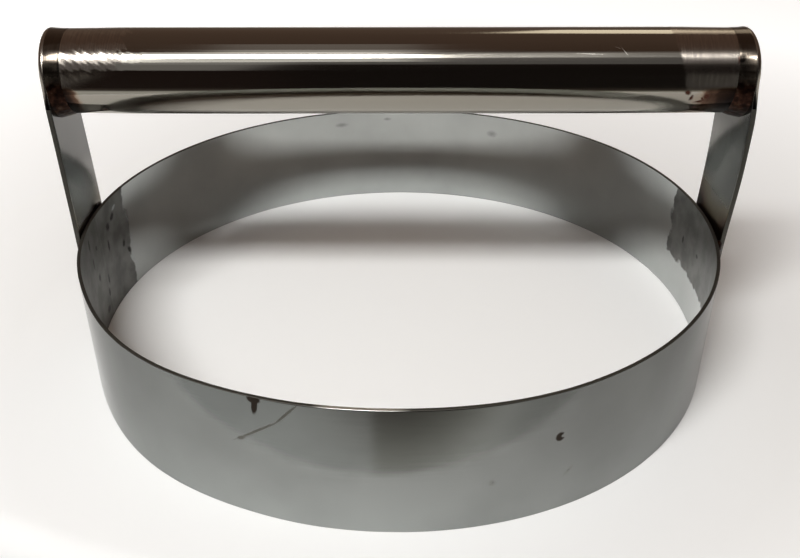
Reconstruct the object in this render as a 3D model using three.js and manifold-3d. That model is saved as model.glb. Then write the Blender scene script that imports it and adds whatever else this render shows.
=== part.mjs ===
// Round pastry cutter: a rolled sheet hoop, two flat uprights and a tube handle, welded together.
// Millimetres, +Z up. The origin is the hoop's centre on the plane of its cutting edge.
// The handle runs along X, and the front is towards -Y.

import * as THREE from 'three';
import { mergeVertices } from 'three/addons/utils/BufferGeometryUtils.js';
import Module from 'manifold-3d';

// Driving dimensions: hoop
const ringOuterDiameter = 200;
const ringWall = 1;
const ringHeight = 38;

// Driving dimensions: handle tube
const tubeOuterDiameter = 25;
const tubeWall = 1.2;
const handleAxisHeight = 86;

// Driving dimensions: uprights
const strapWidth = 27;
const strapThickness = 1.5;
const strapLap = 28;
const strapFootRadius = 3;

// Driving dimensions: welds
const seamWeldWidth = 2.4;
const endWeldRun = 4;
const endFilletLeg = 1.6;
const lapWeldLeg = 2.5;
const lapWeldCrown = 0.5;
const lapWeldEndMargin = 2;

// Fits
const strapSeatGap = 0.3;
const weldGap = 0.3;

// Facets
const ringSegments = 144;
const seamSegments = 2;
const tubeSegments = 64;
const arcSegments = 24;
const smallArcSegments = 4;
const mergeTolerance = 1e-4;

// Sizes that follow from the driving dimensions
const ringRadius = ringOuterDiameter / 2;
const ringInnerRadius = ringRadius - ringWall;
const tubeRadius = tubeOuterDiameter / 2;
const tubeInnerRadius = tubeRadius - tubeWall;
const strapInnerX = ringRadius + strapSeatGap;
const strapOuterX = strapInnerX + strapThickness;
const strapBottomZ = ringHeight - strapLap;
const tubeHalfLength = strapInnerX - endWeldRun;
const halfStrap = strapWidth / 2;
const strapHeadHalfWidth = Math.max(halfStrap, tubeRadius);

// Finishes
const satinSheet = new THREE.MeshStandardMaterial({ color: 0x8f918e, roughness: 0.42, metalness: 1 });
const satinBar = new THREE.MeshStandardMaterial({ color: 0x76766f, roughness: 0.45, metalness: 1 });
const polishedTube = new THREE.MeshStandardMaterial({ color: 0xa8a49c, roughness: 0.12, metalness: 1 });
const weldMetal = new THREE.MeshStandardMaterial({ color: 0x5b4636, roughness: 0.6, metalness: 0.8 });

const wasm = await Module();
wasm.setup();

function piece(name, geometry, material) {
  const mesh = new THREE.Mesh(geometry, material);
  mesh.name = name;
  return mesh;
}

// Closed solid for joining and cutting
function solidOf(geometry) {
  const plain = geometry.clone();
  plain.deleteAttribute('normal');
  plain.deleteAttribute('uv');
  const merged = mergeVertices(plain, mergeTolerance);
  const vertProperties = Float32Array.from(merged.attributes.position.array);
  const triVerts = Uint32Array.from(merged.index.array);
  return new wasm.Manifold(new wasm.Mesh({ numProp: 3, vertProperties, triVerts }));
}

function geometryOf(solid) {
  const { vertProperties, triVerts } = solid.getMesh();
  const geometry = new THREE.BufferGeometry();
  geometry.setAttribute('position', new THREE.BufferAttribute(vertProperties, 3));
  geometry.setIndex(new THREE.BufferAttribute(triVerts, 1));
  geometry.computeVertexNormals();
  return geometry;
}

// Solid of revolution about the X axis, from a closed outline of [radius, x] points
function turnedAboutX(outline, segments) {
  const points = [...outline, outline[0]].map(([radius, x]) => new THREE.Vector2(radius, x));
  return new THREE.LatheGeometry(points, segments).rotateZ(-Math.PI / 2);
}

// Stretch of the hoop wall between two angles
function wallSector(startAngle, endAngle, segments) {
  const outline = new THREE.Shape();
  outline.absarc(0, 0, ringRadius, startAngle, endAngle, false);
  outline.absarc(0, 0, ringInnerRadius, endAngle, startAngle, true);
  const options = { depth: ringHeight, bevelEnabled: false, curveSegments: segments / 2 };
  return new THREE.ExtrudeGeometry(outline, options);
}

// Hoop: a strip rolled nearly shut, with its two ends at -X
function makeRing() {
  const halfGap = (seamWeldWidth / 2 + weldGap) / ringRadius;
  return wallSector(halfGap - Math.PI, Math.PI - halfGap, ringSegments);
}

// Butt weld that closes the hoop, ground flush inside and out
function makeSeamWeld() {
  const halfWidth = seamWeldWidth / 2 / ringRadius;
  return wallSector(Math.PI - halfWidth, Math.PI + halfWidth, seamSegments);
}

// Tube between the two end welds
function makeTube() {
  const outline = [
    [tubeRadius, -tubeHalfLength],
    [tubeRadius, tubeHalfLength],
    [tubeInnerRadius, tubeHalfLength],
    [tubeInnerRadius, -tubeHalfLength],
  ];
  return turnedAboutX(outline, tubeSegments);
}

// Upright: flat bar with a rounded top end that closes the tube and ends level with its top
function makeStrap() {
  const shoulderAngle = -Math.acos(halfStrap / strapHeadHalfWidth);
  const headEnd = Math.PI - shoulderAngle;
  const footY = halfStrap - strapFootRadius;
  const footZ = strapBottomZ + strapFootRadius;
  const outline = new THREE.Shape();
  outline.absarc(footY, footZ, strapFootRadius, -Math.PI / 2, 0, false);
  outline.absellipse(0, handleAxisHeight, strapHeadHalfWidth, tubeRadius, shoulderAngle, headEnd, false);
  outline.absarc(-footY, footZ, strapFootRadius, -Math.PI, -Math.PI / 2, false);
  const options = { depth: strapThickness, bevelEnabled: false, curveSegments: arcSegments / 2 };
  const geometry = new THREE.ExtrudeGeometry(outline, options);
  const acrossY = new THREE.Vector3(0, 1, 0);
  const upZ = new THREE.Vector3(0, 0, 1);
  const throughX = new THREE.Vector3(1, 0, 0);
  return geometry.applyMatrix4(new THREE.Matrix4().makeBasis(acrossY, upZ, throughX));
}

// Weld round a tube end: flush with the tube above, a fillet on the strap's inner face below the axis
function makeEndWeld() {
  const innerX = tubeHalfLength + weldGap;
  const outerX = strapInnerX - weldGap;
  const flushRing = [
    [tubeRadius, innerX],
    [tubeRadius, outerX],
    [tubeInnerRadius, outerX],
    [tubeInnerRadius, innerX],
  ];
  const rootRadius = tubeRadius - tubeWall / 2;
  const fillet = [
    [rootRadius, outerX - endFilletLeg],
    [tubeRadius, outerX - endFilletLeg],
    [tubeRadius + endFilletLeg, outerX],
    [rootRadius, outerX],
  ];
  const depth = tubeRadius + endFilletLeg;
  const underAxis = new THREE.BoxGeometry(2 * endWeldRun, strapWidth, depth);
  underAxis.translate(outerX, 0, -depth / 2);
  const bead = solidOf(turnedAboutX(fillet, tubeSegments)).intersect(solidOf(underAxis));
  return geometryOf(solidOf(turnedAboutX(flushRing, tubeSegments)).add(bead));
}

// Upright bead in the corner between a strap edge and the hoop wall, on the +Y or -Y edge
function makeLapWeld(ySign) {
  const wallRadius = ringRadius + weldGap;
  const nearY = halfStrap + weldGap;
  const farY = nearY + lapWeldLeg;
  const wallPoint = (y) => new THREE.Vector2(Math.sqrt(wallRadius ** 2 - y ** 2), ySign * y);
  const edgePoint = new THREE.Vector2(strapOuterX - weldGap, ySign * nearY);
  const crownPoint = edgePoint.clone().lerp(wallPoint(farY), 0.5);
  crownPoint.x += lapWeldCrown;
  const outline = new THREE.Shape();
  outline.moveTo(edgePoint.x, edgePoint.y);
  outline.quadraticCurveTo(crownPoint.x, crownPoint.y, wallPoint(farY).x, wallPoint(farY).y);
  for (let step = 1; step <= smallArcSegments; step += 1) {
    const onWall = wallPoint(farY + (nearY - farY) * step / smallArcSegments);
    outline.lineTo(onWall.x, onWall.y);
  }
  const depth = strapLap - 2 * lapWeldEndMargin;
  const options = { depth, bevelEnabled: false, curveSegments: smallArcSegments };
  const geometry = new THREE.ExtrudeGeometry(outline, options);
  return geometry.translate(0, 0, strapBottomZ + lapWeldEndMargin);
}

// One end of the handle, built on +X: its upright and the welds that hold it
function makeSide(sideName, turn) {
  const side = new THREE.Group();
  side.rotation.z = turn;
  const strap = piece(`${sideName}_strap`, makeStrap(), satinBar);
  strap.position.x = strapInnerX;
  const endWeld = piece(`${sideName}_end_weld`, makeEndWeld(), weldMetal);
  endWeld.position.z = handleAxisHeight;
  side.add(strap, endWeld);
  for (const ySign of [-1, 1]) {
    const edgeName = ySign * Math.cos(turn) < 0 ? 'front' : 'rear';
    side.add(piece(`${sideName}_${edgeName}_lap_weld`, makeLapWeld(ySign), weldMetal));
  }
  return side;
}

const cutter = new THREE.Group();
cutter.add(piece('cutting_ring', makeRing(), satinSheet));
cutter.add(piece('ring_seam_weld', makeSeamWeld(), satinSheet));

const tube = piece('handle_tube', makeTube(), polishedTube);
tube.position.z = handleAxisHeight;
cutter.add(tube);

cutter.add(makeSide('right', 0));
cutter.add(makeSide('left', Math.PI));

export default cutter;
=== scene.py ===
import bpy
import math
from functools import partial
from mathutils import Matrix, Quaternion, Vector, noise


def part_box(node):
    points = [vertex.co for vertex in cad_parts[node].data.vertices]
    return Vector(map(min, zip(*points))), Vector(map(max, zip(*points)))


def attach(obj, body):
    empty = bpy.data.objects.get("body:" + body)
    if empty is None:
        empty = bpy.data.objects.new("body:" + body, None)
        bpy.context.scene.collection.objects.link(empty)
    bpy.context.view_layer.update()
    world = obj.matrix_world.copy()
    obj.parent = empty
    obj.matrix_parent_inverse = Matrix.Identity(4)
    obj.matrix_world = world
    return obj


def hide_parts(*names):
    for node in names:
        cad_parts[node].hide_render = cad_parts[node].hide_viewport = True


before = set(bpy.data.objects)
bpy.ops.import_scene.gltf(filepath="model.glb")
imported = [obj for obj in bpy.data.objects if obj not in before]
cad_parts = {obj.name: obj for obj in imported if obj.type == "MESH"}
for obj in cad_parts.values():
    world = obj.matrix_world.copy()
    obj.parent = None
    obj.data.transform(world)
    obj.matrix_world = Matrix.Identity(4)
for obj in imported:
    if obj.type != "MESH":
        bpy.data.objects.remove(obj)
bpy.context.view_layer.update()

mm = 0.001
print("frame loaded:", len(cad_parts), "CAD nodes")


def linearColour(hexText):  # sRGB hex to the linear values that the sockets take
    parts = [int(hexText[i:i + 2], 16) / 255 for i in (1, 3, 5)]
    return [c / 12.92 if c <= 0.04045 else ((c + 0.055) / 1.055) ** 2.4 for c in parts] + [1.0]


# Adds a node with its settings and gives its first output. Inputs are links, hex colours or plain values,
# by socket name or as a list in the order in which the node shows its sockets
def addNode(tree, kind, inputs=(), **settings):
    made = tree.nodes.new("ShaderNode" + kind)
    for name, value in settings.items():
        if name == "ramp":
            stops = made.color_ramp.elements
            while len(stops) < len(value):
                stops.new(1.0)
            for stop, (place, colour) in zip(stops, value):
                stop.position = place
                stop.color = linearColour(colour)
        else:
            setattr(made, name, value)
    named = isinstance(inputs, dict)
    sockets = [made.inputs[key] for key in inputs] if named else [s for s in made.inputs if s.enabled]
    for socket, value in zip(sockets, inputs.values() if named else inputs):
        if isinstance(value, bpy.types.NodeSocket):
            tree.links.new(value, socket)
        else:
            socket.default_value = linearColour(value) if isinstance(value, str) else value
    return next((socket for socket in made.outputs if socket.enabled), None)


blended = {"data_type": "RGBA"}                         # settings for the two ways of mixing colours
multiplied = {"data_type": "RGBA", "blend_type": "MULTIPLY"}
noiseSpan = (0.3, 0.7)           # nearly all values of a noise texture lie between these


def smoothStep(low, high, value):
    t = min(max((value - low) / (high - low), 0.0), 1.0)
    return t * t * (3 - 2 * t)


# Sizes read from the CAD nodes
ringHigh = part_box("cutting_ring")[1]
tubeLow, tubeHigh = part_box("handle_tube")
strapLow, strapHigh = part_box("right_strap")
lapLow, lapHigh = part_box("right_rear_lap_weld")
ringRadius = ringHigh.x
ringHeight = ringHigh.z
tubeRadius = (tubeHigh.z - tubeLow.z) / 2
tubeEnd = tubeHigh.x
axisHeight = (tubeHigh.z + tubeLow.z) / 2
strapInner, strapOuter = strapLow.x, strapHigh.x
halfStrap = strapHigh.y
beadLine = (lapLow.y + lapHigh.y) / 2
sides = (("left", -1), ("right", 1))
print("hoop radius", round(ringRadius / mm, 2), "tube radius", round(tubeRadius / mm, 2), "mm")


def makePiece(name, points, faces, materials, sharpAngle):  # smooth, with the edges over the angle kept sharp
    mesh = bpy.data.meshes.new(name)
    mesh.from_pydata(points, [], faces)
    mesh.validate()
    mesh.shade_smooth()
    mesh.set_sharp_from_angle(angle=math.radians(sharpAngle))
    for material in materials:
        mesh.materials.append(material)
    made = bpy.data.objects.new(name, mesh)
    bpy.context.scene.collection.objects.link(made)
    return made


# Joins closed loops of points into one skin, either closed on itself or capped at both ends
def skinLoops(name, loops, materials, closed=False, capFaces=None, sharpAngle=40):
    count = len(loops[0])
    points = [tuple(p) for loop in loops for p in loop]
    faces = []
    for i in range(len(loops) if closed else len(loops) - 1):
        a, b = i * count, (i + 1) % len(loops) * count
        for j in range(count):
            k = (j + 1) % count
            faces.append((a + j, a + k, b + k, b + j))
    if not closed:
        last = (len(loops) - 1) * count
        for face in capFaces or [tuple(range(count))]:
            faces.append(tuple(reversed(face)))
            faces.append(tuple(last + i for i in face))
    made = makePiece(name, points, faces, materials, sharpAngle)
    turnOutward(made.data)
    return made


def turnOutward(mesh):  # faces point out of the metal
    volume = 0.0
    mesh.calc_loop_triangles()
    for tri in mesh.loop_triangles:
        a, b, c = (mesh.vertices[i].co for i in tri.vertices)
        volume += a.dot(b.cross(c))
    if volume < 0:
        mesh.flip_normals()


def settle(piece, slot, *nodes):  # the piece stands for its CAD nodes, on the only body
    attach(piece, "root")
    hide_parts(*nodes)
    return piece


def newMaterial(name):  # an empty material, and what adds nodes to it
    material = bpy.data.materials.new(name)
    material.use_nodes = True
    material.node_tree.nodes.clear()
    return material, partial(addNode, material.node_tree)


def pointPlace(add):  # where a point of the object lies
    where = add("TexCoord").node.outputs["Object"]
    x, y, z = add("SeparateXYZ", [where]).node.outputs
    return {"where": where, "x": x, "y": y, "z": z}


def hoopPlace(add):  # also the angle from the front, and the wall laid flat
    place = pointPlace(add)
    ahead = add("Math", [place["y"], -1.0], operation="MULTIPLY")
    place["angle"] = add("Math", [place["x"], ahead], operation="ARCTAN2")
    arc = add("Math", [place["angle"], ringRadius], operation="MULTIPLY")
    place["flat"] = add("CombineXYZ", [arc, place["z"]])
    return place


def tubePlace(add):  # also up from the handle's axis, out from its middle, and the tube laid flat
    place = pointPlace(add)
    place["rise"] = add("Math", [place["z"], axisHeight], operation="SUBTRACT")
    place["out"] = add("Math", [place["x"]], operation="ABSOLUTE")
    ahead = add("Math", [place["y"], -1.0], operation="MULTIPLY")
    turn = add("Math", [ahead, place["rise"]], operation="ARCTAN2")
    arc = add("Math", [turn, tubeRadius], operation="MULTIPLY")
    place["flat"] = add("CombineXYZ", [place["x"], arc])
    return place


def leftRight(add, place, left, right):  # one value on the object's left half and another on its right
    return add("MapRange", [place["x"], -1 * mm, 1 * mm, left, right])


def addStreaks(add, where, size, detail, turn=0, **settings):  # noise drawn out to a size along each axis
    local = add("Mapping", {
        "Vector": where, "Rotation": (0.0, 0.0, math.radians(turn)), "Scale": size,
    }, vector_type="TEXTURE")
    return add("TexNoise", {"Vector": local, "Scale": 1.0, "Detail": detail}, **settings)


markGrain = 0.9 * mm             # unevenness of the edge of a mark


# 1 on any of the marks: each is across, up, half width and half height in mm, and a turn in degrees
def markMask(add, where, look, side=0):
    ragged, soft = look["ragged"], look["soft"]
    nearest = 100.0              # further off than any mark reaches
    for across, up, halfWidth, halfHeight, turn in look["marks"]:
        local = add("Mapping", {
            "Vector": where,
            "Location": (across * mm, up * mm, side * ringRadius),
            "Rotation": (0.0, 0.0, math.radians(turn)),
            "Scale": (halfWidth * mm, halfHeight * mm, ringRadius),
        }, vector_type="TEXTURE")
        reach = add("VectorMath", [local], operation="LENGTH")
        nearest = add("Math", [reach, nearest], operation="MINIMUM")
    uneven = add("TexNoise", {"Vector": where, "Scale": 1 / markGrain, "Detail": 2.0})
    edge = add("Math", [uneven, 2 * ragged, nearest], operation="MULTIPLY_ADD")
    return add("MapRange", [edge, 1 + ragged - soft, 1 + ragged + soft, 1.0, 0.0])


# Ends a metal's tree: bump is its strength and depth, under the bump below it, more the shader's other inputs
def finishMetal(add, colour, rough, height, bump, under=None, more=None):
    strength, depth = bump
    relief = add("Bump", {"Height": height, "Strength": strength, "Distance": depth, **(under or {})})
    metal = add("BsdfPrincipled", {
        "Base Color": colour, "Metallic": 1.0, "Roughness": rough, "Normal": relief, **(more or {}),
    })
    add("OutputMaterial", {"Surface": metal})


# Stainless sheet, cold rolled with a dull mill finish: soft reflections, a fine grain round the
# hoop and broad faint clouding
millFinish = {
    "clouds": [(0.35, "#eeeeee"), (0.62, "#ffffff")],
    "cloudSize": 30 * mm,
    "grainWidth": 0.6 * mm,      # the real grain is nearer 0.05 mm, too fine to show
    "grainLength": 25 * mm,
    "bump": (0.05, 0.05 * mm),   # strength and depth
}


def addMillFinish(add, where, roughness, look):  # clouding to multiply the colour by, roughness and height
    grain = addStreaks(add, where, (look["grainLength"], look["grainLength"], look["grainWidth"]), detail=3.0)
    clouds = add("TexNoise", {"Vector": where, "Scale": 1 / look["cloudSize"], "Detail": 4.0})
    tone = add("ValToRGB", [clouds], ramp=look["clouds"])
    rough = add("MapRange", [grain, *noiseSpan, *roughness])
    return tone, rough, grain


# The hoop's outside: a drip of brown flux at the rim, a long scratch, a spot and heat colours at the beads,
# and painted shade, darker on the right and towards the rim
outerSheet = {
    "roughness": (0.11, 0.15),
    "glance": "#d6d6d6",         # the dull skin keeps glancing reflections grey
    "round": [(-180, "#a2a5a3"), (-70, "#959896"), (-10, "#a1a4a2"), (32, "#8d8f8d"), (110, "#8f918f"),
              (180, "#a2a5a3")],                        # painted shade: tones by degrees from the front, darker on the right; right is positive
    "height": [(0.1, "#ffffff"), (1.0, "#dedede")],     # painted shade, darker towards the rim
    "stains": {"ragged": 0.12, "soft": 0.18, "marks": [
        (-34.6, 37.4, 1.7, 1.2, 0), (-34.5, 35.6, 0.8, 2.6, -8), (40.3, 24.3, 1.25, 1.3, 0),
    ]},
    "bites": {"ragged": 0.1, "soft": 0.25, "marks": [(41.45, 24.5, 0.85, 0.6, 20)]},    # leaves a crescent
    "stainColour": "#3b342e",
    "scratches": {"ragged": 0.15, "soft": 0.4, "marks": [
        (-34.4, 28.0, 6.6, 0.33, 35), (-26.8, 34.4, 4.2, 0.33, 48), (-39.0, 24.6, 1.1, 0.5, 28),
    ]},
    "scratchColour": "#787771",
    "smudges": {"ragged": 0.4, "soft": 0.6, "marks": [
        (23.0, 14.0, 0.8, 0.75, 0), (43.9, 12.2, 1.5, 0.5, 45),
    ]},
    "smudgeDepth": 0.4,
    "markRoughness": 0.5,
    "heat": [(0.0, "#b3a27d"), (0.45, "#94714a"), (0.8, "#54402f"), (1.0, "#33271f")],
    "heatReach": 7 * mm,
    "heatSides": (0.8, 0.85),    # comes in over these shares of the radius to either side
    "heatFoot": (-8 * mm, 4 * mm),                      # and over these heights from the beads' lower ends
}


def makeOuterSheet(look):
    material, add = newMaterial("stainless sheet, dull mill finish")
    place = hoopPlace(add)
    clouds, rough, grain = addMillFinish(add, place["where"], look["roughness"], millFinish)
    share = add("Math", [place["angle"], 0.5 / math.pi, 0.5], operation="MULTIPLY_ADD")  # 0 to 1, once round
    # painted shade: darker on the right side of the hoop
    stops = [((degrees + 180) / 360, tone) for degrees, tone in look["round"]]
    paintedShadeRoundTone = add("ValToRGB", [share], ramp=stops)
    # painted shade: darker towards the rim
    up = add("Math", [place["z"], ringHeight], operation="DIVIDE")
    paintedShadeHeightTone = add("ValToRGB", [up], ramp=look["height"])
    shaded = add("Mix", [1.0, paintedShadeRoundTone, paintedShadeHeightTone], **multiplied)
    clouded = add("Mix", [1.0, shaded, clouds], **multiplied)

    # heat colours beside the beads that hold the uprights
    fromMiddle = add("Math", [place["y"]], operation="ABSOLUTE")
    fromBead = add("Math", [fromMiddle, beadLine], operation="SUBTRACT")
    beadGap = add("Math", [fromBead], operation="ABSOLUTE")
    nearBead = add("MapRange", [beadGap, 0.0, look["heatReach"], 1.0, 0.0])
    sideways = add("Math", [place["x"]], operation="ABSOLUTE")
    atSide = add("MapRange", [sideways, *(share * ringRadius for share in look["heatSides"])])
    low, high = (lapLow.z + rise for rise in look["heatFoot"])
    overFoot = add("MapRange", [place["z"], low, high, 0.0, atSide])
    heat = add("Math", [nearBead, overFoot], operation="MULTIPLY")
    heatTone = add("ValToRGB", [heat], ramp=look["heat"])
    heated = add("Mix", [heat, clouded, heatTone], **blended)

    scratches = markMask(add, place["flat"], look["scratches"])
    smudges = markMask(add, place["flat"], look["smudges"])
    scratch = add("Math", [smudges, look["smudgeDepth"], scratches], operation="MULTIPLY_ADD", use_clamp=True)
    scratched = add("Mix", [scratch, heated, look["scratchColour"]], **blended)
    stains = markMask(add, place["flat"], look["stains"])
    bites = markMask(add, place["flat"], look["bites"])
    stain = add("Math", [stains, bites], operation="SUBTRACT", use_clamp=True)
    stained = add("Mix", [stain, scratched, look["stainColour"]], **blended)
    marks = add("Math", [scratch, stain], operation="MAXIMUM")
    roughAll = add("MapRange", [marks, 0.0, 1.0, rough, look["markRoughness"]])
    finishMetal(add, stained, roughAll, grain, millFinish["bump"], more={"Specular Tint": look["glance"]})
    return material


# The hoop's inside: the same sheet, scuffed dull behind each upright where the welds were cleaned, its darker
# colour there partly painted shade
innerSheet = {
    "colour": "#b4b7b5",
    "roughness": (0.05, 0.08),
    "patchRoughness": 0.4,
    "patchSpan": (-48 * mm, 22 * mm),                   # front and rear ends, across the upright's line
    "patchFoot": (-6 * mm, 13.5 * mm),                  # lowest height of the left and right patch
    "patchRagged": 8 * mm,
    "patchSoft": 0.5 * mm,
    "mottleAndPaintedShade": [(0.38, "#5b5b58"), (0.62, "#747471")],
    "mottleSize": 7 * mm,
    "leftDashes": {"ragged": 0.4, "soft": 0.35, "marks": [
        (8.4, 29.7, 1.3, 1.3, 0), (6.6, 23.4, 0.7, 1.9, 0), (-6.6, 18.6, 1.0, 1.2, 0),
        (12.6, 31.4, 1.5, 1.0, 30), (-10.0, 25.5, 0.6, 2.0, 4), (0.0, 9.1, 0.8, 1.4, 0),
        (20.4, 14.5, 0.8, 1.5, 30), (-3.5, 4.4, 1.6, 1.1, 0), (-11.2, 33.0, 0.8, 2.2, 0),
        (1.5, 13.2, 0.6, 1.6, 0), (-4.4, 28.4, 0.7, 0.9, 20), (17.5, 18.5, 0.8, 1.2, -20),
    ]},
    "rightDashes": {"ragged": 0.4, "soft": 0.35, "marks": [
        (11.9, 22.9, 0.6, 1.3, 0), (-1.9, 23.8, 0.9, 0.7, 0),
    ]},
    # lighter scratches in the left patch, painted bright as glints
    "leftPaintedGlints": {"ragged": 0.25, "soft": 0.3, "marks": [
        (21.6, 10.4, 0.8, 2.0, 35), (14.8, 33.8, 1.3, 0.6, 20),
    ]},
    "paintedGlintColour": "#a9adab",
    "smudges": {"ragged": 0.4, "soft": 0.7, "marks": [
        (-289.0, 32.6, 1.9, 0.7, 0), (274.4, 30.4, 1.6, 1.0, 0), (-308.7, 34.2, 1.1, 0.5, 0),
    ]},
    "smudgeDepth": 0.4,
    "markColour": "#242321",
}


def makeInnerSheet(look):
    material, add = newMaterial("stainless sheet, mill finish scuffed at the welds")
    place = hoopPlace(add)
    clouds, rough, grain = addMillFinish(add, place["where"], look["roughness"], millFinish)
    clouded = add("Mix", [1.0, look["colour"], clouds], **multiplied)

    # scuffed patch, darkened partly as painted shade: within a width of the upright's line and above a foot
    # line, with a ragged edge
    front, rear = look["patchSpan"]
    along = add("Math", [place["y"], (front + rear) / 2], operation="SUBTRACT")
    width = add("Math", [along], operation="ABSOLUTE")
    past = add("Math", [width, (rear - front) / 2], operation="SUBTRACT")
    foot = leftRight(add, place, *look["patchFoot"])
    below = add("Math", [foot, place["z"]], operation="SUBTRACT")
    outside = add("Math", [past, below], operation="MAXIMUM")
    uneven = add("TexNoise", {"Vector": place["where"], "Scale": 1 / look["mottleSize"], "Detail": 4.0})
    ragged = add("Math", [uneven, look["patchRagged"], outside], operation="MULTIPLY_ADD")
    edge, soft = look["patchRagged"] / 2, look["patchSoft"]
    patch = add("MapRange", [ragged, edge - soft, edge + soft, 1.0, 0.0])
    # mottled dark colour of the scuffed patch, partly painted shade
    mottleAndPaintedShade = add("ValToRGB", [uneven], ramp=look["mottleAndPaintedShade"])
    patched = add("Mix", [patch, clouded, mottleAndPaintedShade], **blended)

    sideOn = add("CombineXYZ", [place["y"], place["z"], place["x"]])
    # painted glints on the left patch
    paintedGlints = markMask(add, sideOn, look["leftPaintedGlints"], side=-1)
    paintedGlinting = add("Mix", [paintedGlints, patched, look["paintedGlintColour"]], **blended)
    left = markMask(add, sideOn, look["leftDashes"], side=-1)
    right = markMask(add, sideOn, look["rightDashes"], side=1)
    dashes = add("Math", [left, right], operation="MAXIMUM")
    smudges = markMask(add, place["flat"], look["smudges"])
    faint = add("Math", [smudges, look["smudgeDepth"]], operation="MULTIPLY")
    marks = add("Math", [dashes, faint], operation="MAXIMUM")
    marked = add("Mix", [marks, paintedGlinting, look["markColour"]], **blended)
    roughAll = add("MapRange", [patch, 0.0, 1.0, rough, look["patchRoughness"]])
    finishMetal(add, marked, roughAll, grain, millFinish["bump"])
    return material


# Sheared edges: torn and dull, so they read as a darker line. The rim is rubbed smoother for a stretch in
# front, where a painted glint makes its colour pale
shearedEdge = {
    "toothSize": 0.7 * mm,
    "roughness": (0.55, 0.3),    # torn and rubbed
    "bump": (0.3, 0.05 * mm),
    "rubbedGlintFull": 0.6,           # share of the rubbed stretch before it fades
    "rubbedGlintDepth": (-5 * mm, 5 * mm),                   # only the front half of the hoop
}
shearedRim = {**shearedEdge, "colour": "#54524d", "rubbedGlint": "#d5d3ce", "rubbedGlintFrom": (-20 * mm, 3 * mm)}
shearedBar = {**shearedEdge, "colour": "#5f5d57", "rubbedGlint": "#5f5d57", "rubbedGlintFrom": (-1 * mm, 1 * mm)}


def makeShearedEdge(look):
    material, add = newMaterial("stainless edge, sheared")
    place = pointPlace(add)
    left, right = look["rubbedGlintFrom"]
    half = (right - left) / 2
    across = add("Math", [place["x"], (left + right) / 2], operation="SUBTRACT")
    reach = add("Math", [across], operation="ABSOLUTE")
    near = add("MapRange", [reach, look["rubbedGlintFull"] * half, half, 1.0, 0.0])
    front = add("MapRange", [place["y"], *look["rubbedGlintDepth"], 1.0, 0.0])
    rubbedGlint = add("Math", [near, front], operation="MULTIPLY")
    teeth = add("TexNoise", {"Vector": place["where"], "Scale": 1 / look["toothSize"], "Detail": 2.0})
    # painted glint: pale colour on the rubbed stretch of the rim
    colour = add("Mix", [rubbedGlint, look["colour"], look["rubbedGlint"]], **blended)
    rough = add("MapRange", [rubbedGlint, 0.0, 1.0, *look["roughness"]])
    finishMetal(add, colour, rough, teeth, look["bump"])
    return material


# Stainless ground on a belt with lines round the tube: highlights drawn out along it, faintly streaked
groundFinish = {
    "colours": [(0.35, "#9a938a"), (0.65, "#a9a197")],
    "roughness": (0.23, 0.26),
    "lineSpacing": 0.4 * mm,     # a fine belt leaves lines of about 0.1 mm, too fine to show
    "lineLength": 7 * mm,
    "drawnOut": 0.95,
    "quarterTurn": 0.25,         # from round the tube to along it
}


def addGroundFinish(add, place, look):  # colour, roughness and height
    size = (look["lineSpacing"], look["lineLength"], 1.0)
    lines = addStreaks(add, place["flat"], size, detail=2.0, noise_dimensions="2D")
    colour = add("ValToRGB", [lines], ramp=look["colours"])
    rough = add("MapRange", [lines, *noiseSpan, *look["roughness"]])
    return colour, rough, lines


def drawAlongTube(add, look):  # shader inputs that draw the highlights out along the handle
    aroundTube = add("Tangent", direction_type="RADIAL", axis="X")
    return {
        "Tangent": aroundTube, "Anisotropic": look["drawnOut"], "Anisotropic Rotation": look["quarterTurn"],
    }


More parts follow.
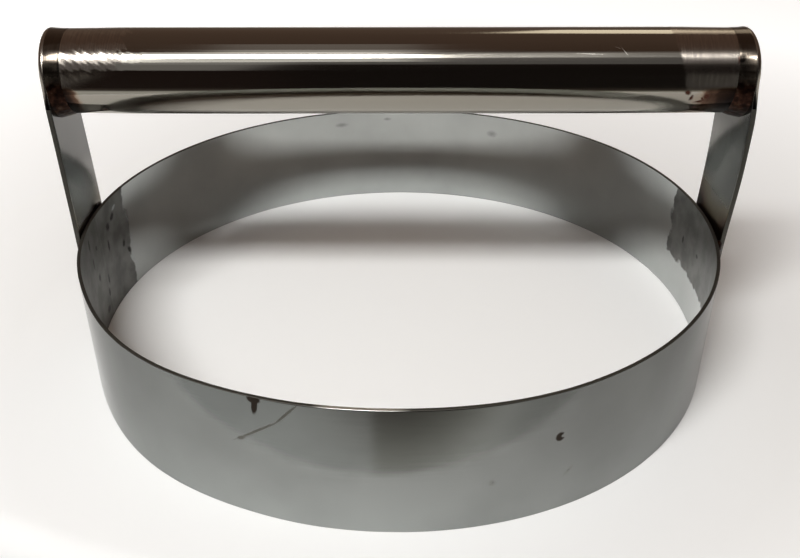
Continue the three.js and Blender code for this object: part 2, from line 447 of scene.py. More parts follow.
# Stainless tube, mirror polished: clear dark and bright bands along it, with hairlines. Its ends are
# ground dull, and browned by heat underneath
polishedSteel = {
    "colour": "#9a968d",
    "roughness": (0.09, 0.13),
    "hairLength": 30 * mm,
    "hairWidth": 0.3 * mm,       # polishing hairlines are finer, drawn wide enough to show
    "hairSpan": (0.58, 0.78),    # only the strongest of them dull the polish
    "groundFrom": 78.7 * mm,
    "groundEdge": 0.4 * mm,
    "groundSlant": 0.27,         # on the right the belt's edge runs askew round the tube
    "slantFrom": 11 * mm,        # up from the axis
    "groundDownTo": (-1.7 * mm, 4.5 * mm),              # from the axis: at the ends, and inward on the left
    "groundFade": 1.5 * mm,
    "groundBump": (0.05, 0.05 * mm),
    "smears": (11 * mm, 1.2 * mm),                      # how far the belt strayed, left and right
    "smearSize": (9 * mm, 2 * mm, 1.0),
    "smearTurn": 40,             # degrees
    "smearBump": (0.7, 0.18 * mm),
    "smearFade": (-85 * mm, -70 * mm),
    "heatReach": (5 * mm, 13.5 * mm),                   # from the left and right end
    "heatStart": 0.8,
    "heatPatches": 0.5,
    "heatPatchSize": 3 * mm,
    "heatUnder": (-2.6 * mm, -0.4 * mm),                # fades out over these heights from the axis
    "heatSpan": (0.15, 0.45),    # heat at which its colours begin to cover and cover fully
    "heat": [(0.0, "#a39883"), (0.25, "#96806a"), (0.45, "#5d473a"), (0.7, "#2d211b"), (1.0, "#16100e")],
    # rusty spots; the first lies at the pit by the right weld and also paints the shade of its hollow
    "spots": {"ragged": 0.6, "soft": 0.4, "marks": [
        (97.0, 13.0, 1.2, 1.5, 0), (-86.1, 29.4, 0.9, 0.8, 0), (86.2, 28.4, 1.1, 0.7, 0),
        (82.6, 22.3, 0.9, 0.7, 40), (84.0, 24.2, 0.5, 0.9, 15), (88.3, 23.8, 0.9, 0.9, 0),
        (86.6, 25.6, 1.2, 0.35, -12), (87.4, 24.8, 0.35, 0.8, -30),
    ]},
    "spotColour": "#4b3128",
    "scratches": {"ragged": 0.1, "soft": 0.4, "marks": [
        (63.6, 10.2, 1.5, 0.12, 55), (61.9, 9.3, 1.0, 0.1, 20), (54.0, 11.2, 4.0, 0.06, 2),
    ]},
    "scratchColour": "#b9b5ad",
    "markRoughness": 0.3,
}


def makePolishedSteel(look):
    material, add = newMaterial("stainless tube, mirror polished with ground ends")
    place = tubePlace(add)
    groundColour, groundRough, lines = addGroundFinish(add, place, groundFinish)
    hairSize = (look["hairLength"], look["hairWidth"], 1.0)
    hairs = addStreaks(add, place["flat"], hairSize, detail=2.0, noise_dimensions="2D")
    polishRough = add("MapRange", [hairs, *look["hairSpan"], *look["roughness"]])

    # ground ends, with a smeared edge on the left and a clean one on the right
    smear = addStreaks(add, place["flat"], look["smearSize"], detail=1.0, turn=look["smearTurn"],
                       noise_dimensions="2D")
    stray = leftRight(add, place, *look["smears"])
    centred = add("Math", [smear, 0.5], operation="SUBTRACT")
    edge = add("Math", [centred, stray, place["out"]], operation="MULTIPLY_ADD")
    slant = leftRight(add, place, 0.0, look["groundSlant"])
    fromTop = add("Math", [place["rise"], look["slantFrom"]], operation="SUBTRACT")
    slanted = add("Math", [fromTop, slant, edge], operation="MULTIPLY_ADD")
    start, soft = look["groundFrom"], look["groundEdge"]
    reached = add("MapRange", [slanted, start - soft, start + soft])
    leftLimit = add("MapRange", [place["x"], -tubeEnd, -start, *look["groundDownTo"]])
    limit = leftRight(add, place, leftLimit, look["groundDownTo"][0])
    overLimit = add("Math", [place["rise"], limit], operation="SUBTRACT")
    upper = add("MapRange", [overLimit, -look["groundFade"], look["groundFade"]])
    ground = add("Math", [reached, upper], operation="MULTIPLY")
    finished = add("Mix", [ground, look["colour"], groundColour], **blended)
    finishedRough = add("MapRange", [ground, 0.0, 1.0, polishRough, groundRough])

    # heat colours under the ends
    fromEnd = add("Math", [tubeEnd, place["out"]], operation="SUBTRACT")
    heatReach = leftRight(add, place, *look["heatReach"])
    share = add("Math", [fromEnd, heatReach], operation="DIVIDE")
    uneven = add("TexNoise", {"Vector": place["where"], "Scale": 1 / look["heatPatchSize"], "Detail": 2.0})
    close = add("Math", [look["heatStart"], share], operation="SUBTRACT")
    patchy = add("Math", [uneven, look["heatPatches"], close], operation="MULTIPLY_ADD", use_clamp=True)
    under = add("MapRange", [place["rise"], *look["heatUnder"], 1.0, 0.0])
    heat = add("Math", [patchy, under], operation="MULTIPLY")
    heatTone = add("ValToRGB", [heat], ramp=look["heat"])
    heatMask = add("MapRange", [heat, *look["heatSpan"]])
    heated = add("Mix", [heatMask, finished, heatTone], **blended)

    spots = markMask(add, place["flat"], look["spots"])
    spotted = add("Mix", [spots, heated, look["spotColour"]], **blended)
    scratches = markMask(add, place["flat"], look["scratches"])
    scratched = add("Mix", [scratches, spotted, look["scratchColour"]], **blended)
    marks = add("Math", [spots, scratches], operation="MAXIMUM")
    rough = add("MapRange", [marks, 0.0, 1.0, finishedRough, look["markRoughness"]])
    height = add("Math", [lines, ground], operation="MULTIPLY")
    strength, depth = look["groundBump"]
    lineBump = add("Bump", {"Height": height, "Strength": strength, "Distance": depth})
    onLeft = add("MapRange", [place["x"], *look["smearFade"], upper, 0.0])
    dips = add("Math", [centred, onLeft], operation="MULTIPLY")
    shine = drawAlongTube(add, groundFinish)
    finishMetal(add, scratched, rough, dips, look["smearBump"], {"Normal": lineBump}, shine)
    return material


# Stainless weld metal: ground with the tube above, left with its dark brown oxide below
weldSteel = {
    "oxide": [(0.3, "#120c0a"), (0.46, "#271914"), (0.6, "#402a20"), (0.74, "#5a4a3e")],
    "patchSize": 1.8 * mm,
    "groundDownTo": 1.0 * mm,                           # from the handle's axis
    "groundFade": 1.5 * mm,
    "ragged": 3 * mm,
    "roughness": 0.42,
    "skinSize": 0.5 * mm,
    "bump": (0.1, 0.08 * mm),
    "groundTone": "#9f9a94",     # multiplies the ground finish
    # a pit with no dent in the shape: oxide, with the shade of its hollow painted near black
    "pitsWithShade": {"ragged": 0.8, "soft": 0.6, "marks": [(97.0, 13.0, 1.2, 1.5, 0)]},
    "pitShadeColour": "#0f0c0a",
}


def makeWeldSteel(look):
    material, add = newMaterial("stainless weld metal, browned by heat")
    place = tubePlace(add)
    groundColour, groundRough, lines = addGroundFinish(add, place, groundFinish)
    patches = add("TexNoise", {"Vector": place["where"], "Scale": 1 / look["patchSize"], "Detail": 3.0})
    oxide = add("ValToRGB", [patches], ramp=look["oxide"])
    level = add("Math", [patches, look["ragged"], place["rise"]], operation="MULTIPLY_ADD")
    limit, soft = look["groundDownTo"] + look["ragged"] / 2, look["groundFade"]
    ground = add("MapRange", [level, limit - soft, limit + soft])
    dulled = add("Mix", [1.0, groundColour, look["groundTone"]], **multiplied)
    finished = add("Mix", [ground, oxide, dulled], **blended)
    # painted shade and oxide of the pit
    pitsWithShade = markMask(add, place["flat"], look["pitsWithShade"])
    colour = add("Mix", [pitsWithShade, finished, look["pitShadeColour"]], **blended)
    unpitted = add("Math", [ground, pitsWithShade], operation="SUBTRACT", use_clamp=True)
    rough = add("MapRange", [unpitted, 0.0, 1.0, look["roughness"], groundRough])
    skin = add("TexNoise", {"Vector": place["where"], "Scale": 1 / look["skinSize"], "Detail": 2.0})
    height = add("MapRange", [ground, 0.0, 1.0, skin, lines])
    finishMetal(add, colour, rough, height, look["bump"], more=drawAlongTube(add, groundFinish))
    return material


# Flat stainless bar, smooth rolled: darker and a little clearer than the sheet, straw to brown near the welds
barSteel = {
    "colours": [(0.35, "#727270"), (0.65, "#81817d")],
    "headTone": "#adadad",       # darker towards the handle
    "headFrom": (50 * mm, 63 * mm),                     # left and right
    "headFade": 7 * mm,
    "cloudSize": 20 * mm,
    "grainWidth": 0.5 * mm,      # real rolling lines are finer, drawn wide enough to show
    "grainLength": 28 * mm,
    "roughness": (0.09, 0.13),
    "bump": (0.08, 0.05 * mm),
    "heat": [(0.0, "#77756a"), (0.45, "#746c5c"), (0.7, "#5f5041"), (0.88, "#33261e"), (1.0, "#17100d")],
    "heatHeights": (ringHeight + 1 * mm, ringHeight + 15 * mm),
    "heatSides": (0.4, 1.0),                            # weaker on the left
    "heatOutside": 0.45,         # weaker on the outer face
    "faceDepths": (strapInner + 0.5 * mm, strapInner + 0.9 * mm),   # between the inner face and the outer
    "heatEdges": (0.2 * halfStrap, halfStrap, 0.55, 1.0),           # stronger towards the edges
    "heatPatches": (0.6, 1.25),
    "heatSpan": (0.1, 0.4),      # heat at which its colours begin to cover and cover fully
    "heatRoughness": 0.45,       # heated skin is matt
    # heat scale along the rim, with painted shade where the upright meets the hoop
    "burntShadeTo": (ringHeight + 1.0 * mm, ringHeight + 0.5 * mm),
    "burntShadeSlope": 0.07,          # thicker towards the front
    "burntShadeRagged": 4 * mm,
    "burntShadeFade": (1.4 * mm, 2.6 * mm),
    "burntShadeColour": "#33271f",
    "spots": {"ragged": 0.3, "soft": 0.4, "marks": [(-7.0, 72.0, 1.6, 1.0, 20)]},
    "spotColour": "#55544c",
    "groundRim": (tubeRadius - 1.2 * mm, tubeRadius - 0.5 * mm),    # out from the handle's axis
    "groundHeights": (-6 * mm, -2 * mm),                # and up from it
}


def makeBarSteel(look):
    material, add = newMaterial("stainless flat bar, smooth rolled")
    place = tubePlace(add)
    groundColour, groundRough, lines = addGroundFinish(add, place, groundFinish)
    clouds = add("TexNoise", {"Vector": place["where"], "Scale": 1 / look["cloudSize"], "Detail": 4.0})
    clouded = add("ValToRGB", [clouds], ramp=look["colours"])
    headFrom = leftRight(add, place, *look["headFrom"])
    overFrom = add("Math", [place["z"], headFrom], operation="SUBTRACT")
    headward = add("MapRange", [overFrom, 0.0, look["headFade"]])
    colour = add("Mix", [headward, clouded, look["headTone"]], **multiplied)
    grainSize = (look["grainWidth"], look["grainWidth"], look["grainLength"])
    grain = addStreaks(add, place["where"], grainSize, detail=2.0)
    rough = add("MapRange", [grain, *noiseSpan, *look["roughness"]])

    # heat colours above the hoop and along the beads
    lowHeat = add("MapRange", [place["z"], *look["heatHeights"], 1.0, 0.0])
    side = leftRight(add, place, *look["heatSides"])
    fromMiddle = add("Math", [place["y"]], operation="ABSOLUTE")
    towardEdge = add("MapRange", [fromMiddle, *look["heatEdges"]])
    facing = add("MapRange", [place["out"], *look["faceDepths"], side, look["heatOutside"]])
    inside = add("MapRange", [place["out"], *look["faceDepths"], 1.0, 0.0])
    sideHeat = add("Math", [lowHeat, facing], operation="MULTIPLY")
    patchy = add("MapRange", [clouds, *noiseSpan, *look["heatPatches"]])
    edgeHeat = add("Math", [sideHeat, towardEdge], operation="MULTIPLY")
    heat = add("Math", [edgeHeat, patchy], operation="MULTIPLY", use_clamp=True)
    heatTone = add("ValToRGB", [heat], ramp=look["heat"])
    heatMask = add("MapRange", [heat, *look["heatSpan"]])
    heated = add("Mix", [heatMask, colour, heatTone], **blended)

    # heat scale along the hoop's rim, darkened further as painted shade where the upright meets it
    burntShadeTo = leftRight(add, place, *look["burntShadeTo"])
    sloped = add("Math", [place["y"], look["burntShadeSlope"], place["z"]], operation="MULTIPLY_ADD")
    over = add("Math", [sloped, burntShadeTo], operation="SUBTRACT")
    jagged = add("Math", [clouds, look["burntShadeRagged"], over], operation="MULTIPLY_ADD")
    burntShade = add("MapRange", [jagged, *look["burntShadeFade"], inside, 0.0])
    blackened = add("Mix", [burntShade, heated, look["burntShadeColour"]], **blended)
    sideOn = add("CombineXYZ", [place["y"], place["z"], place["x"]])
    spots = markMask(add, sideOn, look["spots"], side=1)
    spotted = add("Mix", [spots, blackened, look["spotColour"]], **blended)

    # the edge of the head was ground with the tube
    overAxis = add("CombineXYZ", [place["y"], place["rise"]])
    radius = add("VectorMath", [overAxis], operation="LENGTH")
    rimShare = add("MapRange", [radius, *look["groundRim"]])
    high = add("MapRange", [place["rise"], *look["groundHeights"]])
    ground = add("Math", [rimShare, high], operation="MULTIPLY")
    finished = add("Mix", [ground, spotted, groundColour], **blended)
    skinned = add("Math", [burntShade, sideHeat], operation="MAXIMUM")
    skinRough = add("MapRange", [skinned, 0.0, 1.0, rough, look["heatRoughness"]])
    finishedRough = add("MapRange", [ground, 0.0, 1.0, skinRough, groundRough])
    height = add("MapRange", [ground, 0.0, 1.0, grain, lines])
    finishMetal(add, finished, finishedRough, height, look["bump"])
    return material


sheetMaterials = [makeOuterSheet(outerSheet), makeInnerSheet(innerSheet), makeShearedEdge(shearedRim)]
barMaterials = [makeBarSteel(barSteel), makeShearedEdge(shearedBar)]
tubeMaterial = makePolishedSteel(polishedSteel)
weldMaterial = makeWeldSteel(weldSteel)
print("materials made")


# Hoop: a strip rolled nearly shut, its ends at -X
hoop = {
    "wall": 1.0 * mm,
    "edgeRadius": 0.15 * mm,     # sheared edges, broken by hand
    "edgeSteps": 3,
    "edgeNormal": 0.2,           # faces that look further up or down than this count as edge
    "wallSteps": 12,
    "support": 0.2 * mm,
    "sectionCount": 360,
    "seamGap": 2.4 * mm,
    "seamOverlap": 0.2 * mm,
    "seamProud": 0.06 * mm,
    "seamSunk": 0.02 * mm,       # its sides end just below the wall
    "seamSteps": 8,
    "wobble": 0.12 * mm,         # hand rolling leaves the wall a little uneven
    "wobbleLength": 45 * mm,
    # pushed out of round by hand: degrees from the front, half width, and how far out at foot and rim
    "dents": [(-42, 24, 1.1 * mm, 1.5 * mm), (0, 26, -0.2 * mm, -0.9 * mm), (86, 45, -0.8 * mm, -0.8 * mm)],
}


def hoopSection(look):  # closed outline of the strip as (distance out from the inner face, height)
    wall, edge = look["wall"], look["edgeRadius"]
    corners = [(wall - edge, edge, -90), (wall - edge, ringHeight - edge, 0),
               (edge, ringHeight - edge, 90), (edge, edge, 180)]
    low, high = edge + look["support"], ringHeight - edge - look["support"]
    outline = []
    for cx, cz, start in corners:
        for step in range(look["edgeSteps"] + 1):
            turn = math.radians(start + 90 * step / look["edgeSteps"])
            outline.append((cx + edge * math.cos(turn), cz + edge * math.sin(turn)))
        if start in (0, 180):
            continue
        for step in range(look["wallSteps"] + 1):
            share = step / look["wallSteps"]
            outline.append((outline[-1][0], low + (high - low) * (share if start == -90 else 1 - share)))
    return outline


def outOfRound(look, angle, z):
    offset = 0.0
    for at, reach, foot, rim in look["dents"]:
        fromFront = math.degrees(angle) + 90                    # the front is at -90 degrees
        away = (fromFront - at + 180) % 360 - 180
        share = max(math.cos(math.radians(90 * min(abs(away) / reach, 1.0))), 0.0) ** 2
        offset += share * (foot + (rim - foot) * z / ringHeight)
    return offset


def hoopLoop(look, angle, proud=0.0):  # one section of the strip, stood at an angle round the hoop
    loop = []
    for out, z in hoopSection(look):
        spot = Vector((math.cos(angle) * ringRadius, math.sin(angle) * ringRadius, z))
        radius = ringRadius - look["wall"] + out
        radius += look["wobble"] * noise.noise(spot / look["wobbleLength"]) + outOfRound(look, angle, z)
        radius += proud * (1 if out > look["wall"] / 2 else -1)
        loop.append((radius * math.cos(angle), radius * math.sin(angle), z))
    return loop


def skinStrip(name, loops, look):  # outer face, inner face and sheared edges take their own material
    made = skinLoops(name, loops, sheetMaterials)
    for face in made.data.polygons:
        if abs(face.normal.z) > look["edgeNormal"]:
            face.material_index = 2
        elif face.normal.xy.dot(face.center.xy) < 0:
            face.material_index = 1
    return made


def makeHoop(look):
    halfGap = look["seamGap"] / 2 / ringRadius
    sweep = 2 * math.pi - 2 * halfGap
    count = look["sectionCount"]
    loops = [hoopLoop(look, -math.pi + halfGap + sweep * i / count) for i in range(count + 1)]
    return skinStrip("cuttingRing", loops, look)


def makeSeam(look):  # butt weld in the gap, ground almost flush
    halfWidth = (look["seamGap"] / 2 + look["seamOverlap"]) / ringRadius
    loops = []
    for i in range(look["seamSteps"] + 1):
        t = 2 * i / look["seamSteps"] - 1
        proud = look["seamProud"] * (1 - t * t) - look["seamSunk"]
        loops.append(hoopLoop(look, math.pi + halfWidth * t, proud))
    return skinStrip("ringSeamWeld", loops, look)


settle(makeHoop(hoop), "satin_sheet", "cutting_ring")
settle(makeSeam(hoop), "satin_sheet", "ring_seam_weld")
print("hoop made")


# Uprights: flat bar, its head rounded over the tube end and ground with it
upright = {
    "edge": 0.25 * mm,
    "headOuterEdge": 1.2 * mm,
    "headInnerEdge": 0.02 * mm,
    "headBlend": 8 * mm,
    "edgeSteps": 4,
    "edgeNormal": 0.6,           # faces that look less to the side than this count as cut edge
    "support": 0.4 * mm,
    "footRadius": 3 * mm,
    "headSteps": 28,
    "sideSteps": 30,
    "footSteps": 8,
    # hand fitting left each a little twisted and leaning out, at the hoop and at the head
    "twist": {-1: (2.6, 4.0), 1: (-0.6, 2.0)},          # degrees
    "twistHeights": (30 * mm, 75 * mm),
    "lean": {-1: (0.0, 1.1 * mm), 1: (-0.3 * mm, 0.95 * mm)},
    "leanHeights": {-1: (30 * mm, 90 * mm), 1: (24 * mm, 62 * mm)},
    "headReturn": {-1: 0.0, 1: 0.75 * mm},              # drawn back in at the tube
    "returnHeights": (72 * mm, 88 * mm),
}


def twisted(side, x, y, z):
    low, high = upright["twist"][side]
    turn = math.radians(low + (high - low) * smoothStep(*upright["twistHeights"], z))
    low, high = upright["lean"][side]
    share = smoothStep(*upright["leanHeights"][side], z)
    drawnIn = upright["headReturn"][side] * smoothStep(*upright["returnHeights"], z)
    middle = side * (strapInner + low + (high - low) * share - drawnIn)
    depth = x - side * strapInner
    across, along = math.cos(turn), math.sin(turn)
    return (middle + depth * across - y * along, depth * along + y * across, z)


def uprightHalf(look):  # right half of the outline from foot to top, as (y, z) points with outward normals
    foot, low = look["footRadius"], strapLow.z
    half = []
    for step in range(look["footSteps"] + 1):
        turn = math.radians(-90 + 90 * step / look["footSteps"])
        normal = (math.cos(turn), math.sin(turn))
        half.append((halfStrap - foot + foot * normal[0], low + foot + foot * normal[1], normal))
    for step in range(1, look["sideSteps"]):
        rise = (axisHeight - low - foot) * step / look["sideSteps"]
        half.append((halfStrap, low + foot + rise, (1.0, 0.0)))
    for step in range(look["headSteps"] + 1):
        turn = math.pi / 2 * step / look["headSteps"]
        normal = Vector((math.cos(turn) / halfStrap, math.sin(turn) / tubeRadius)).normalized()
        half.append((halfStrap * math.cos(turn), axisHeight + tubeRadius * math.sin(turn), tuple(normal)))
    return half


def makeUpright(name, side, look):
    half = uprightHalf(look)
    outline = half + [(-y, z, (-ny, nz)) for y, z, (ny, nz) in reversed(half[:-1])]
    top = len(half) - 1
    caps = [(i, i + 1, 2 * top - i - 1, 2 * top - i) for i in range(top - 1)] + [(top - 1, top, top + 1)]
    shares = [None] + [step / look["edgeSteps"] for step in range(look["edgeSteps"] + 1)]
    stations = [(False, share) for share in shares] + [(True, share) for share in reversed(shares)]
    headFrom = axisHeight - look["headBlend"]
    loops = []
    for outer, share in stations:
        headEdge = look["headOuterEdge"] if outer else look["headInnerEdge"]
        loop = []
        for y, z, (ny, nz) in outline:
            radius = look["edge"] + (headEdge - look["edge"]) * smoothStep(headFrom, axisHeight, z)
            if share is None:
                depth, inset = 0.0, radius + look["support"]
            else:
                depth = radius * (1 - math.cos(math.pi / 2 * share))
                inset = radius * (1 - math.sin(math.pi / 2 * share))
            x = strapOuter - depth if outer else strapInner + depth
            loop.append(twisted(side, side * x, y - ny * inset, z - nz * inset))
        loops.append(loop)
    made = skinLoops(name, loops, barMaterials, capFaces=caps)
    for face in made.data.polygons:                             # cut edges below the head
        if abs(face.normal.x) < look["edgeNormal"] and face.center.z < headFrom:
            face.material_index = 1
    return made


for name, side in sides:
    settle(makeUpright(name + "Upright", side, upright), "satin_bar", name + "_strap")
print("uprights made")


# Handle tube, worn down a little at its ground ends
handle = {
    "wall": 1.2 * mm,
    "around": 160,
    "along": 140,
    "wave": 0.015 * mm,
    "waveLength": 22 * mm,
    "groundFrom": 77 * mm,
    "groundDrop": 0.2 * mm,
}


def makeHandle(look):
    stations = [tubeEnd * (2 * i / look["along"] - 1) for i in range(look["along"] + 1)]
    loops = []
    for i in range(look["around"]):
        turn = 2 * math.pi * i / look["around"]
        loop = []
        for x in stations:
            spot = Vector((x, tubeRadius * math.sin(turn), tubeRadius * math.cos(turn)))
            worn = tubeRadius - look["groundDrop"] * smoothStep(look["groundFrom"], tubeEnd, abs(x))
            loop.append((x, worn + look["wave"] * noise.noise(spot / look["waveLength"])))
        loop += [(x, tubeRadius - look["wall"]) for x in (tubeEnd, 0.0, -tubeEnd)]
        loops.append([(x, r * math.sin(turn), axisHeight + r * math.cos(turn)) for x, r in loop])
    return skinLoops("handleTube", loops, [tubeMaterial], closed=True)


settle(makeHandle(handle), "polished_tube", "handle_tube")
print("handle made")


# Welds round the tube ends: ground flush above, a rippled fillet below
endBead = {
    "around": 300,
    "buried": 0.4 * mm,          # reaches a little into both neighbours
    "rootDepth": 1.0 * mm,
    "rootStep": 0.3 * mm,        # its buried end starts this far below the surface
    "leg": 1.1 * mm,
    "legUneven": 0.25,
    "lumps": (3.0, 4, 2.3),      # where in the noise, lumps round the tube, and finer ones on the ground part
    "filletFrom": (0.2, 0.75),   # share of the radius below the axis where the fillet grows
    "filletSwell": 0.35,
    "headInset": 0.02 * mm,
    "stations": 16,
    "ripple": 0.14 * mm,
    "rippleSize": (0.09, 1.1 * mm),                     # round the tube in radians, and along it
    "rippleSeed": 9.0,
    "ground": 0.05 * mm,
    "seamDepth": 0.16 * mm,      # shallow line left where the weld meets the tube
    "seamWidth": 0.6 * mm,
    "lipDrop": 0.05 * mm,
}


def makeEndBead(name, side, look):
    loops = []
    root = tubeRadius - look["rootDepth"]
    seed, lumps, fineLumps = look["lumps"]
    around, along = look["rippleSize"]
    for i in range(look["around"]):
        turn = 2 * math.pi * i / look["around"] - math.pi          # 0 is the top, the front is -90 degrees
        across, rise = math.sin(turn), math.cos(turn)
        below = smoothStep(*look["filletFrom"], -rise)
        spot = Vector((side * seed, across * lumps, rise * lumps))
        leg = look["leg"] * (1 + look["legUneven"] * noise.noise(spot))
        head = 1 / math.hypot(across / halfStrap, max(rise, 0.0) / tubeRadius)
        target = min(head - look["headInset"], tubeRadius + leg)
        face = twisted(side, side * strapInner, across * tubeRadius, axisHeight + rise * tubeRadius)
        run = abs(face[0]) - tubeEnd
        flush = tubeRadius - handle["groundDrop"] + look["ground"] * noise.noise(spot * fineLumps)
        section = [(-look["buried"], root), (-look["buried"], flush - look["rootStep"])]
        for step in range(look["stations"] + 1):
            share = step / look["stations"]
            out = run * step / look["stations"]
            bead = look["filletSwell"] * leg * below * math.sin(math.pi * share)
            lump = Vector((turn / around, out / along, side * look["rippleSeed"]))
            crest = look["ripple"] * below * noise.noise(lump) * math.sin(math.pi * share)
            seam = look["seamDepth"] * (1 - smoothStep(0.0, look["seamWidth"], out))
            swell = (target - flush) * share * share + bead + crest
            section.append((out, flush + swell - seam))
        section.append((run + look["buried"], section[-1][1] - look["lipDrop"]))
        section.append((run + look["buried"], root))
        loops.append([(side * (tubeEnd + a), r * across, axisHeight + r * rise) for a, r in section])
    return skinLoops(name, loops, [weldMaterial], closed=True, sharpAngle=60)


for name, side in sides:
    settle(makeEndBead(name + "EndBead", side, endBead), "weld_metal", name + "_end_weld")
print("end beads made")


# Beads along the uprights' edges on the hoop
lapBead = {
    "leg": 2.5 * mm,
    "crown": 0.45 * mm,
    "crownLean": 0.6,            # share of the crown that goes out, and that goes away from the upright
    "buried": 0.4 * mm,
    "root": 0.5 * mm,            # depth into the hoop's wall
    "overEdge": 0.9,             # covers this share of the upright's thickness
    "toeTuck": (0.5 * mm, 0.2 * mm),                    # the toe turns in and under
    "rippleLength": 1.3 * mm,
    "ripple": 0.12 * mm,
    "stepsPerRipple": 6,
    "faceSteps": 8,
    "taper": 2.0 * mm,
    "endSize": 0.25,             # share of the full size at its ends
    "uneven": 0.1,
    "unevenLength": 4 * mm,
    "unevenSeed": (5, 7),
}


def makeLapBead(name, side, edgeSide, look):
    height = lapHigh.z - lapLow.z
    levelCount = round(height / look["rippleLength"] * look["stepsPerRipple"])
    corner = twisted(side, side * strapInner, edgeSide * halfStrap, lapLow.z)
    edgeX, edgeY = side * corner[0], edgeSide * corner[1]
    rootY = edgeY - look["buried"]
    tuckX, tuckY = look["toeTuck"]
    sideSeed, edgeSeed = look["unevenSeed"]
    loops = []
    for i in range(levelCount + 1):
        rise = height * i / levelCount
        fromEnd = min(rise, height - rise)
        grown = math.sqrt(smoothStep(0.0, look["taper"], fromEnd))
        swell = look["endSize"] + (1 - look["endSize"]) * grown
        lump = Vector((side * sideSeed, edgeSide * edgeSeed, rise / look["unevenLength"]))
        swell *= 1 + look["uneven"] * noise.noise(lump)
        crest = look["ripple"] * abs(math.sin(math.pi * rise / look["rippleLength"]))
        leg = look["leg"] * swell
        topX = edgeX + (strapOuter - strapInner) * look["overEdge"] * swell
        toeY = edgeY + leg
        wallAngle = math.atan2(edgeSide * toeY, side * ringRadius)
        wallRadius = ringRadius + outOfRound(hoop, wallAngle, lapLow.z + rise)
        toeX = math.sqrt(wallRadius ** 2 - toeY ** 2)
        rootX = math.sqrt((wallRadius - look["root"]) ** 2 - rootY ** 2)
        loop = [(rootX, rootY), (topX, rootY)]
        for step in range(look["faceSteps"] + 1):
            t = step / look["faceSteps"]
            bulge = look["crownLean"] * (look["crown"] * swell + crest) * math.sin(math.pi * t)
            loop.append((topX + (toeX - topX) * t + bulge, edgeY + leg * t + bulge))
        loop.append((toeX - tuckX, toeY - tuckY))
        loops.append([(side * x, edgeSide * y, lapLow.z + rise) for x, y in loop])
    return skinLoops(name, loops, [weldMaterial], sharpAngle=60)


for name, side in sides:
    for edgeName, edgeSide in (("Front", -1), ("Rear", 1)):
        bead = makeLapBead(name + edgeName + "LapBead", side, edgeSide, lapBead)
        settle(bead, "weld_metal", name + "_" + edgeName.lower() + "_lap_weld")
print("lap beads made")


# Camera at the photograph's place
view = {
    "eye": (0.9 * mm, -255.5 * mm, 165.9 * mm),
    "down": 0.5361,              # below the horizon, all three turns in radians
    "heading": 0.0031,
    "roll": -0.0021,
    "focalPixels": 878.1,
    "imageWidth": 800,
    "sensor": 36.0,
    "clip": (1 * mm, 50.0),
}


def makeCamera(look):
    data = bpy.data.cameras.new("camera")
    data.sensor_fit = "HORIZONTAL"
    data.sensor_width = look["sensor"]
    data.lens = look["focalPixels"] / look["imageWidth"] * look["sensor"]
    data.clip_start, data.clip_end = look["clip"]
    camera = bpy.data.objects.new("camera", data)
    turn = Matrix.Rotation(look["heading"], 4, "Z") @ Matrix.Rotation(math.pi / 2 - look["down"], 4, "X")
    camera.matrix_world = Matrix.Translation(look["eye"]) @ turn @ Matrix.Rotation(look["roll"], 4, "Z")
    bpy.context.scene.collection.objects.link(camera)
    bpy.context.scene.camera = camera


makeCamera(view)


def seenRays(add):  # 1 for what the camera sees, straight or in metal and glass
    rays = add("LightPath").node.outputs
    seen = add("Math", [rays["Is Camera Ray"], rays["Is Glossy Ray"]], operation="ADD", use_clamp=True)
    return add("Math", [seen, rays["Is Transmission Ray"]], operation="ADD", use_clamp=True)


# Table top, painted pale and matt: its front is a rounded corner that rolls down just below the picture, and
# it glows paler with distance
table = {
    "colour": "#f2f2f0",
    "roughness": 0.9,
    "halfSize": 8.0,
    "front": -0.1175,
    "slant": -0.06,              # turns the corner a little askew
    "corner": (0.6, 140 * mm),   # slope of its two sides, and how far its rounding reaches
    "cornerSteps": 60,
    "cornerSpan": 3,             # stepped as far as this many times the rounding
    "roll": 0.012,
    "rollSteps": 12,
    "hang": 1.5,
    "glow": (0.0, 0.6),
    "glowFrom": (0.13, 0.42),    # comes in between these distances
}


def makeTable(look):
    material, add = newMaterial("pale matt table top")
    where = add("TexCoord").node.outputs["Object"]
    level = add("VectorMath", [where, (1.0, 1.0, 0.0)], operation="MULTIPLY")
    away = add("VectorMath", [level], operation="LENGTH")
    pale = add("MapRange", [away, *look["glowFrom"], *look["glow"]])
    glow = add("Math", [seenRays(add), pale], operation="MULTIPLY")
    paint = add("BsdfPrincipled", {
        "Base Color": look["colour"], "Roughness": look["roughness"], "Specular IOR Level": 0.0,
        "Emission Color": "#ffffff", "Emission Strength": glow,
    })
    add("OutputMaterial", {"Surface": paint})
    size, roll, front = look["halfSize"], look["roll"], look["front"]
    profile = [(size, 0.0)]
    for step in range(look["rollSteps"] + 1):
        turn = math.pi / 2 * step / look["rollSteps"]
        profile.append((front - roll * math.sin(turn), roll * (math.cos(turn) - 1)))
    profile.append((front - roll, -look["hang"]))
    slope, reach = look["corner"]
    steps = look["cornerSteps"]
    span = look["cornerSpan"] * reach
    across = [-size] + [span * (2 * i / steps - 1) for i in range(steps + 1)] + [size]
    points = []
    for y, z in profile:
        for x in across:
            setBack = look["slant"] * x + slope * (math.hypot(x, reach) - reach)
            points.append((x, y + setBack, z))
    count = len(across)
    faces = [(count * i + j, count * (i + 1) + j, count * (i + 1) + j + 1, count * i + j + 1)
             for i in range(len(profile) - 1) for j in range(count - 1)]
    makePiece("table", points, faces, [material], sharpAngle=30)


makeTable(table)

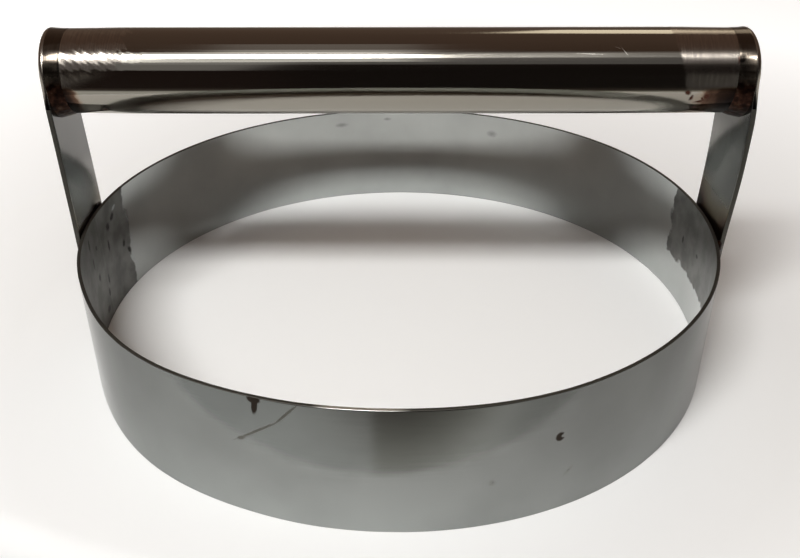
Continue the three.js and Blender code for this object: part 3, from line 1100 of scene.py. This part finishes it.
# Studio light. The strip is the bright band along the tube, the halo its soft edge, and the crown, ceiling,
# haze, leftFoot, fall and tail carry it on dimly to every side. The panel fills from the left, and the back
# from behind
lamps = {
    "strip": {"centre": (-0.303, -0.582, 0.899), "aim": (-0.303, 0, 0.05), "size": (0.6, 0.16),
              "power": 10.5, "roll": 3.5},
    "halo": {"centre": (-0.345, -0.62, 0.89), "aim": (-0.345, 0, 0.05), "size": (0.7, 0.47),
             "power": 1.05, "roll": 3.5},
    "crown": {"centre": (-0.117, -0.383, 1.01), "aim": (-0.117, 0, 0.086), "size": (0.28, 0.19),
              "power": 0.075},
    "ceiling": {"centre": (-0.117, -0.225, 1.06), "aim": (-0.117, 0, 0.086), "size": (0.28, 0.46),
                "power": 0.08},
    "haze": {"centre": (-0.02, -0.68, 0.90), "aim": (-0.02, 0, 0.05), "size": (1.1, 0.64), "power": 0.34},
    "leftFoot": {"centre": (-0.44, -0.67, 0.76), "aim": (-0.08, 0, 0.09), "size": (0.16, 0.2), "power": 0.3},
    "fall": {"centre": (0.19, -0.54, 0.93), "aim": (0.19, 0, 0.05), "size": (0.22, 0.22), "power": 0.075},
    "tail": {"centre": (0.4, -0.54, 0.93), "aim": (0.4, 0, 0.05), "size": (0.26, 0.22), "power": 0.032},
    "panel": {"centre": (-0.355, -0.72, 0.55), "aim": (-0.065, 0, 0.09), "size": (0.38, 0.42),
              "power": 0.152},
    "back": {"centre": (0.62, 1.7, 1.55), "aim": (0, 0, 0.1), "size": (0.6, 0.75), "power": 2.4,
             "tint": "#fff4dc"},
}


def makeLamp(name, look):
    data = bpy.data.lights.new(name, "AREA")
    data.shape = "RECTANGLE"
    data.size, data.size_y = look["size"]
    data.energy = look["power"]
    data.color = linearColour(look.get("tint", "#ffffff"))[:3]
    lamp = bpy.data.objects.new(name, data)
    centre = Vector(look["centre"])
    lamp.location = centre
    lamp.rotation_mode = "QUATERNION"
    facing = (Vector(look["aim"]) - centre).to_track_quat("-Z", "Y")
    lamp.rotation_quaternion = facing @ Quaternion((0, 0, 1), math.radians(look.get("roll", 0)))
    bpy.context.scene.collection.objects.link(lamp)


for name, look in lamps.items():
    makeLamp(name, look)

# Dim room round the lamps, by degrees from straight down over the front and the top to the back horizon
room = {
    "overhead": [(47, "#2c2320"), (72, "#5a483d"), (99, "#645146"), (144, "#6b574b"), (180, "#71645a")],
    "rightBelow": [(-90, "#d8d6d1"), (-56, "#d4d2cd"), (-51, "#cbc9c4"), (-45.4, "#cdcbc6"),
                   (-43.2, "#f4f2ec"), (-41.2, "#cecbc3"), (-39.4, "#959389"), (-36.5, "#4a423c"),
                   (-28, "#211d1b"), (22, "#211d1b")],
    "leftBelow": [(-90, "#e2e1df"), (-43, "#e0dfdb"), (-39, "#d8d6d1"), (-36.5, "#5b534d"), (-28, "#2c2320")],
    "divide": (-9.0, -7.0),      # where the left side gives way to the right, degrees from straight ahead
    "horizon": "#dadad6",        # pale horizon, away from the front
    "horizonOff": (32, 50),      # degrees to either side of straight ahead
    "horizonTop": (1, 6),
    "horizonFoot": (-36, -30),
}


def makeRoom(look):
    world = bpy.data.worlds.new("room")
    bpy.context.scene.world = world
    world.use_nodes = True
    world.node_tree.nodes.clear()
    add = partial(addNode, world.node_tree)
    divide, off, top, foot = ([math.radians(degrees) for degrees in look[name]]
                              for name in ("divide", "horizonOff", "horizonTop", "horizonFoot"))
    where = add("TexCoord").node.outputs["Generated"]
    x, y, z = add("SeparateXYZ", [where]).node.outputs
    ahead = add("Math", [y, -1.0], operation="MULTIPLY")
    tilt = add("Math", [z, ahead], operation="ARCTAN2")
    share = add("Math", [tilt, 1 / (1.5 * math.pi), 1 / 3], operation="MULTIPLY_ADD")  # 0 is straight down
    tones = []
    for below in (look["rightBelow"], look["leftBelow"]):
        stops = [((degrees + 90) / 270, tone) for degrees, tone in below + look["overhead"]]
        tones.append(add("ValToRGB", [share], ramp=stops))
    aside = add("Math", [x, ahead], operation="ARCTAN2")
    leftward = add("MapRange", [aside, *divide, 1.0, 0.0])
    tone = add("Mix", [leftward, *tones], **blended)

    # pale band along the horizon
    sideways = add("Math", [aside], operation="ABSOLUTE")
    away = add("MapRange", [sideways, *off])
    rise = add("Math", [z], operation="ARCSINE")
    low = add("MapRange", [rise, *top, 1.0, 0.0])
    high = add("MapRange", [rise, *foot])
    level = add("Math", [low, high], operation="MULTIPLY")
    band = add("Math", [away, level], operation="MULTIPLY")
    shown = add("Math", [band, seenRays(add)], operation="MULTIPLY")
    colour = add("Mix", [shown, tone, look["horizon"]], **blended)
    glow = add("Background", {"Color": colour, "Strength": 1.0})
    add("OutputWorld", {"Surface": glow})


makeRoom(room)
bpy.context.scene.view_settings.view_transform = "Standard"
print("camera, table and light made")
